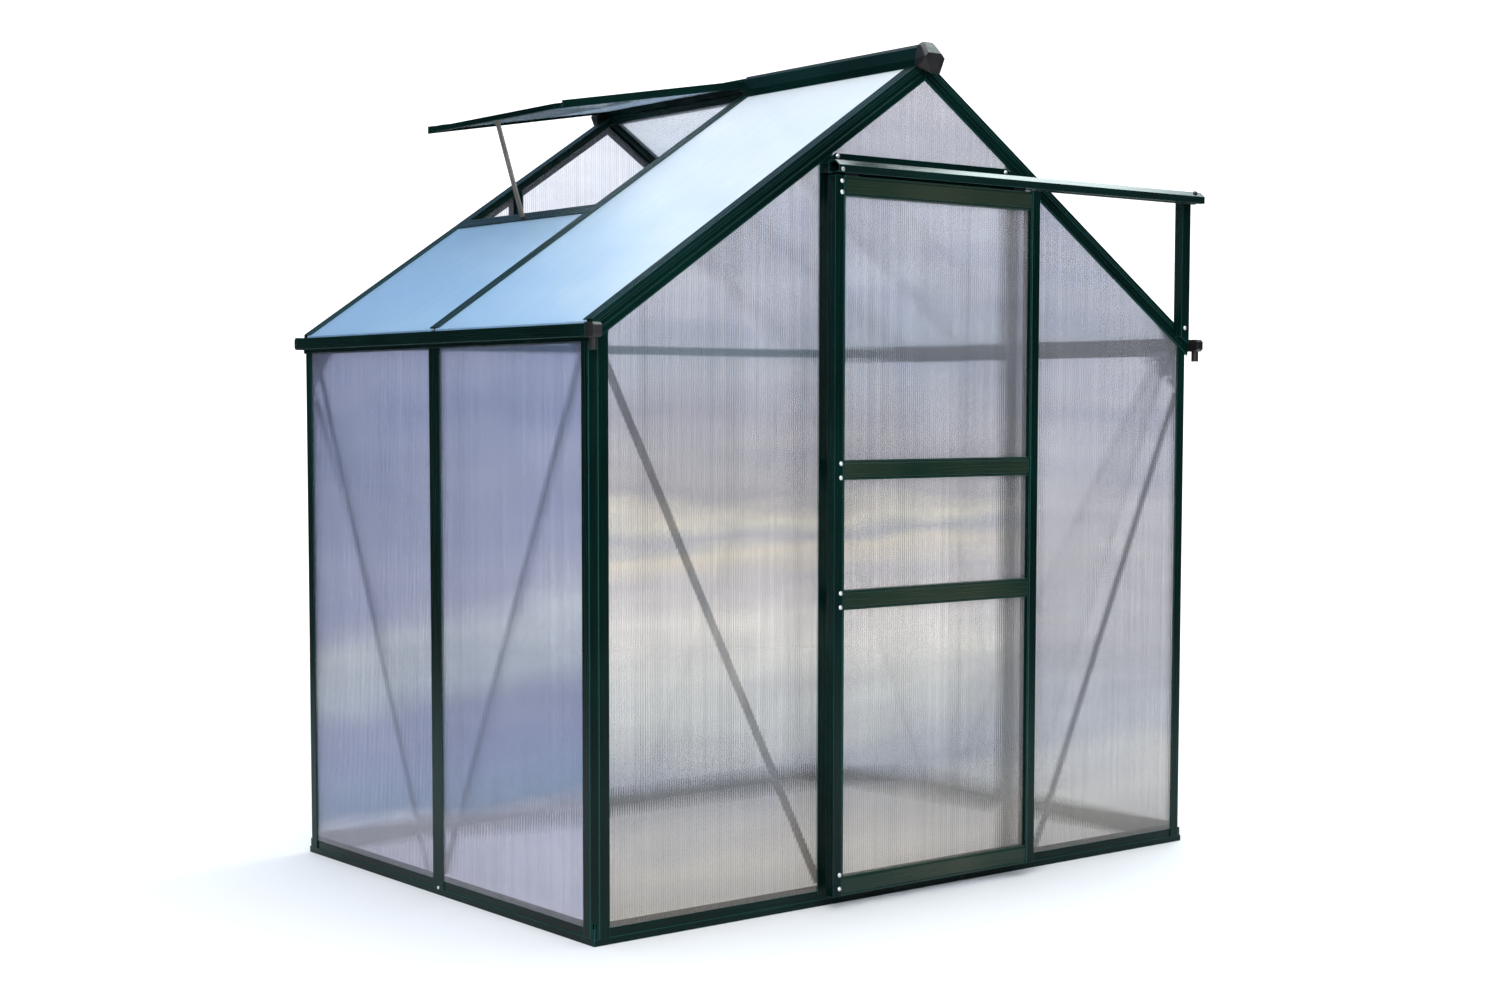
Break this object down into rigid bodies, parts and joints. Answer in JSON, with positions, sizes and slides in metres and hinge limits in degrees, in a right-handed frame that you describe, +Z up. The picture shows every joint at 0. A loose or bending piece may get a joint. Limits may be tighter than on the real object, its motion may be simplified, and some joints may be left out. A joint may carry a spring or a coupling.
{
  "type": "polycarbonate greenhouse",
  "caption": "Small free-standing greenhouse: green aluminium frame holding twin-wall sheets, pitched roof with a propped vent, gutters and a door that slides on an outside track.",
  "frame": {"origin": "on the ground, in the middle of the box round the whole object", "axes": "+Z up, +X along the front gable in the direction the door opens, +Y from front to back"},
  "size_m": [1.94, 1.392, 2.0008],
  "materials": {
    "green_frame": "satin powder coat",
    "twin_wall_sheet": "clear fluted",
    "black_plastic": "matt moulded",
    "bare_aluminium": "mill"
  },
  "bodies": {
    "house": {"front_sill": "green_frame", "back_sill": "green_frame", "left_sill": "green_frame", "right_sill": "green_frame", "front_left_post": "green_frame", "front_right_post": "green_frame", "back_left_post": "green_frame", "back_right_post": "green_frame", "left_middle_post": "green_frame", "right_middle_post": "green_frame", "back_studs": "green_frame", "door_jambs": "green_frame", "door_header": "green_frame", "front_left_rafter": "green_frame", "front_right_rafter": "green_frame", "back_left_rafter": "green_frame", "back_right_rafter": "green_frame", "left_roof_bar": "green_frame", "right_roof_bar": "green_frame", "left_gutter": "green_frame", "right_gutter": "green_frame", "ridge": "green_frame", "vent_cross_bar": "green_frame", "vent_frame": "green_frame", "back_tie": "green_frame", "door_track": "green_frame", "track_brackets": "green_frame", "track_support": "green_frame", "front_wall_sheets": "twin_wall_sheet", "back_wall_sheets": "twin_wall_sheet", "left_wall_sheets": "twin_wall_sheet", "right_wall_sheets": "twin_wall_sheet", "left_roof_sheets": "twin_wall_sheet", "right_roof_sheets": "twin_wall_sheet", "vent_sheet": "twin_wall_sheet", "gutter_end_caps": "black_plastic", "ridge_hoods": "black_plastic", "vent_stay": "bare_aluminium", "wall_braces": "bare_aluminium", "eave_gussets": "bare_aluminium"},
    "door": {"door_stiles": "green_frame", "door_rails": "green_frame", "door_sheets": "twin_wall_sheet", "door_hangers": "bare_aluminium", "door_rollers": "black_plastic"}
  },
  "joints": [
    {"name": "door_slide", "type": "slide", "parent": "house", "child": "door", "axis": [1, 0, 0], "range_m": [0, 0.61]}
  ]
}
